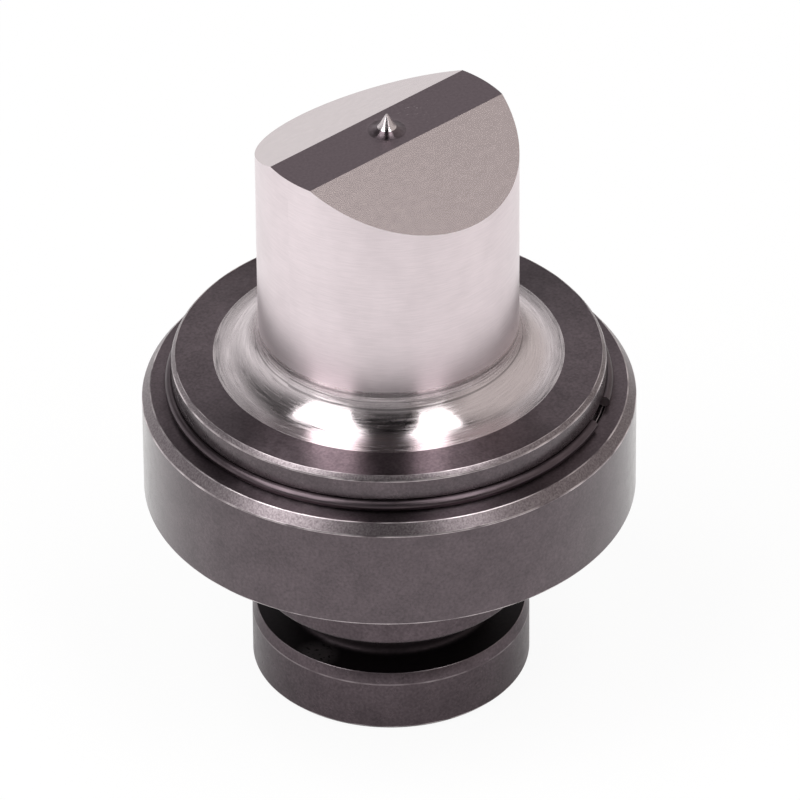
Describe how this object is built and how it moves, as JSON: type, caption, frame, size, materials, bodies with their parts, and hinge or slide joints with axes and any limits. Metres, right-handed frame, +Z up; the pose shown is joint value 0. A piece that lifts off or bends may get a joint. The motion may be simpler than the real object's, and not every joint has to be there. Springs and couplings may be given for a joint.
{
  "type": "turret punch tool",
  "caption": "Round punch with a roof-sheared point and a centring nib, a grooved shank, and a loose collar held on its flange by a wire ring.",
  "frame": {"origin": "centre of the shank's end face, which the tool stands on", "axes": "+Z up the punch's axis to the nib, X along the ridge of the roof shear, Y across it"},
  "size_m": [0.06, 0.06, 0.079],
  "materials": {
    "tool_steel": "ground bright on the point, blackened on the flange and shank",
    "blackened_steel": "black oxide, satin",
    "spring_wire": "dark drawn spring wire"
  },
  "bodies": {
    "punch_body": {"punch": "tool_steel", "retaining_ring": "spring_wire"},
    "collar_body": {"collar": "blackened_steel"}
  },
  "joints": [
    {"name": "collar_turn", "type": "hinge", "parent": "punch_body", "child": "collar_body", "pos_m": [0, 0, 0.03265], "axis": [0, 0, 1], "continuous": true}
  ]
}
